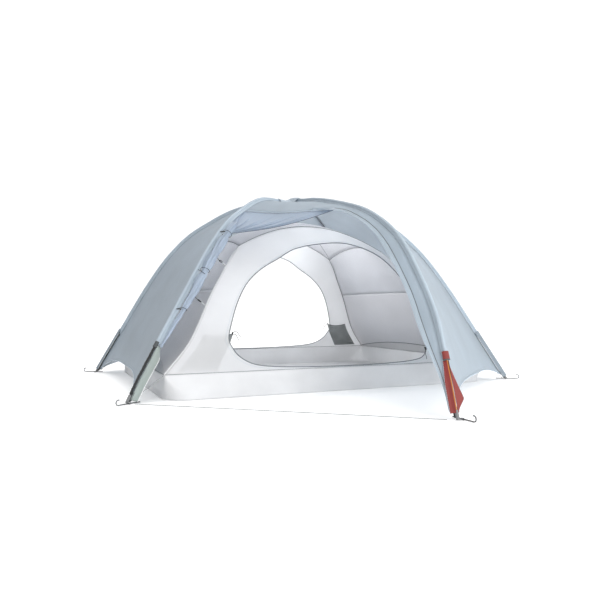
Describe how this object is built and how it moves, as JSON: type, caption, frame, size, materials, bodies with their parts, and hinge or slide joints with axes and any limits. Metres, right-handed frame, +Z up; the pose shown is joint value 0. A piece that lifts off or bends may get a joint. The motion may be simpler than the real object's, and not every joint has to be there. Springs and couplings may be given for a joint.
{
  "type": "dome tent",
  "caption": "Dome tent on crossing arch poles: taut fly with a porch on each long side, hung inner tent with D-shaped doorways, foot cups, pegs and ties.",
  "frame": {"origin": "middle of the tent on the ground", "axes": "+X along the sleeping length, +Y towards the back porch, +Z up"},
  "size_m": [2.6122, 3.7796, 1.236],
  "materials": {
    "fly_cloth": "satin",
    "inner_cloth": "matte",
    "tub_cloth": "satin",
    "mesh_cloth": "matte",
    "black_webbing": "matte",
    "red_cloth": "matte",
    "cord_line": "matte",
    "pole_dark": "satin",
    "pole_gold": "satin",
    "peg_metal": "satin",
    "foot_plastic": "matte",
    "toggle_plastic": "matte",
    "zip_metal": "satin"
  },
  "bodies": {
    "tent": {"pole_main_1": "pole_dark", "pole_main_2": "pole_dark", "pole_vestibule": "pole_gold", "sleeve_main_front_left": "fly_cloth", "sleeve_main_back_right": "fly_cloth", "sleeve_main_front_right": "fly_cloth", "sleeve_main_back_left": "fly_cloth", "sleeve_vestibule_front": "fly_cloth", "sleeve_vestibule_back": "fly_cloth", "crown_patch": "fly_cloth", "fly_end_left": "fly_cloth", "fly_end_right": "fly_cloth", "fly_vestibule_front": "fly_cloth", "fly_vestibule_back": "fly_cloth", "fly_canopy_front": "fly_cloth", "fly_canopy_back": "fly_cloth", "fly_door_roll_front": "fly_cloth", "fly_door_roll_back": "fly_cloth", "low_sleeve_front_left": "black_webbing", "low_sleeve_back_right": "black_webbing", "low_sleeve_front_right": "black_webbing", "low_sleeve_back_left": "black_webbing", "foot_pocket_front": "red_cloth", "foot_pocket_back": "red_cloth", "foot_front_left": "foot_plastic", "foot_back_right": "foot_plastic", "foot_front": "foot_plastic", "foot_back": "foot_plastic", "foot_front_right": "foot_plastic", "foot_back_left": "foot_plastic", "inner_tub": "tub_cloth", "inner_wall_front": "inner_cloth", "inner_wall_back": "inner_cloth", "inner_wall_left": "inner_cloth", "inner_wall_right": "inner_cloth", "inner_roof": "inner_cloth", "inner_door_roll_front": "inner_cloth", "inner_door_roll_back": "inner_cloth", "stash_pocket_front": "mesh_cloth", "stash_pocket_back": "mesh_cloth", "corner_cord_front_left": "cord_line", "corner_cord_back_right": "cord_line", "corner_cord_front_right": "cord_line", "corner_cord_back_left": "cord_line", "base_cord_front": "cord_line", "base_cord_back": "cord_line"},
    "peg_front_left": {"peg_front_left": "peg_metal"},
    "peg_back_right": {"peg_back_right": "peg_metal"},
    "peg_front": {"peg_front": "peg_metal"},
    "peg_back": {"peg_back": "peg_metal"},
    "peg_front_right": {"peg_front_right": "peg_metal"},
    "peg_back_left": {"peg_back_left": "peg_metal"},
    "toggle_low_front": {"toggle_low_front": "toggle_plastic"},
    "toggle_low_back": {"toggle_low_back": "toggle_plastic"},
    "toggle_high_front": {"toggle_high_front": "toggle_plastic"},
    "toggle_high_back": {"toggle_high_back": "toggle_plastic"},
    "zip_fly_front": {"zip_fly_front": "zip_metal"},
    "zip_fly_back": {"zip_fly_back": "zip_metal"},
    "zip_inner_front": {"zip_inner_front": "zip_metal"},
    "zip_inner_back": {"zip_inner_back": "zip_metal"}
  },
  "joints": [
    {"name": "peg_front_left_pull", "type": "slide", "parent": "tent", "child": "peg_front_left", "axis": [-0.8393, -0.5437, 0], "range_m": [0, 0.12]},
    {"name": "peg_back_right_pull", "type": "slide", "parent": "tent", "child": "peg_back_right", "axis": [0.8393, 0.5437, 0], "range_m": [0, 0.12]},
    {"name": "peg_front_pull", "type": "slide", "parent": "tent", "child": "peg_front", "axis": [0, -1, 0], "range_m": [0, 0.12]},
    {"name": "peg_back_pull", "type": "slide", "parent": "tent", "child": "peg_back", "axis": [0, 1, 0], "range_m": [0, 0.12]},
    {"name": "peg_front_right_pull", "type": "slide", "parent": "tent", "child": "peg_front_right", "axis": [0.8393, -0.5437, 0], "range_m": [0, 0.12]},
    {"name": "peg_back_left_pull", "type": "slide", "parent": "tent", "child": "peg_back_left", "axis": [-0.8393, 0.5437, 0], "range_m": [0, 0.12]},
    {"name": "toggle_low_front_swivel", "type": "hinge", "parent": "tent", "child": "toggle_low_front", "pos_m": [-0.94, -0.7, 0.47], "axis": [-0.7122, -0.4614, 0.529], "range_deg": [-75, 75]},
    {"name": "toggle_low_back_swivel", "type": "hinge", "parent": "tent", "child": "toggle_low_back", "pos_m": [0.94, 0.7, 0.47], "axis": [0.7122, 0.4614, 0.529], "range_deg": [-75, 75]},
    {"name": "toggle_high_front_swivel", "type": "hinge", "parent": "tent", "child": "toggle_high_front", "pos_m": [-0.652, -0.536, 0.913], "axis": [-0.5915, -0.3832, 0.7094], "range_deg": [-75, 75]},
    {"name": "toggle_high_back_swivel", "type": "hinge", "parent": "tent", "child": "toggle_high_back", "pos_m": [0.652, 0.536, 0.913], "axis": [0.5915, 0.3832, 0.7094], "range_deg": [-75, 75]},
    {"name": "zip_fly_front_run", "type": "slide", "parent": "tent", "child": "zip_fly_front", "axis": [-0.1293, 0.4367, 0.8903], "range_m": [0, 0.06]},
    {"name": "zip_fly_back_run", "type": "slide", "parent": "tent", "child": "zip_fly_back", "axis": [0.1293, -0.4367, 0.8903], "range_m": [0, 0.06]},
    {"name": "zip_inner_front_run", "type": "slide", "parent": "tent", "child": "zip_inner_front", "axis": [0.3192, 0.4497, 0.8342], "range_m": [0, 0.09]},
    {"name": "zip_inner_back_run", "type": "slide", "parent": "tent", "child": "zip_inner_back", "axis": [-0.3192, -0.4497, 0.8342], "range_m": [0, 0.09]}
  ]
}
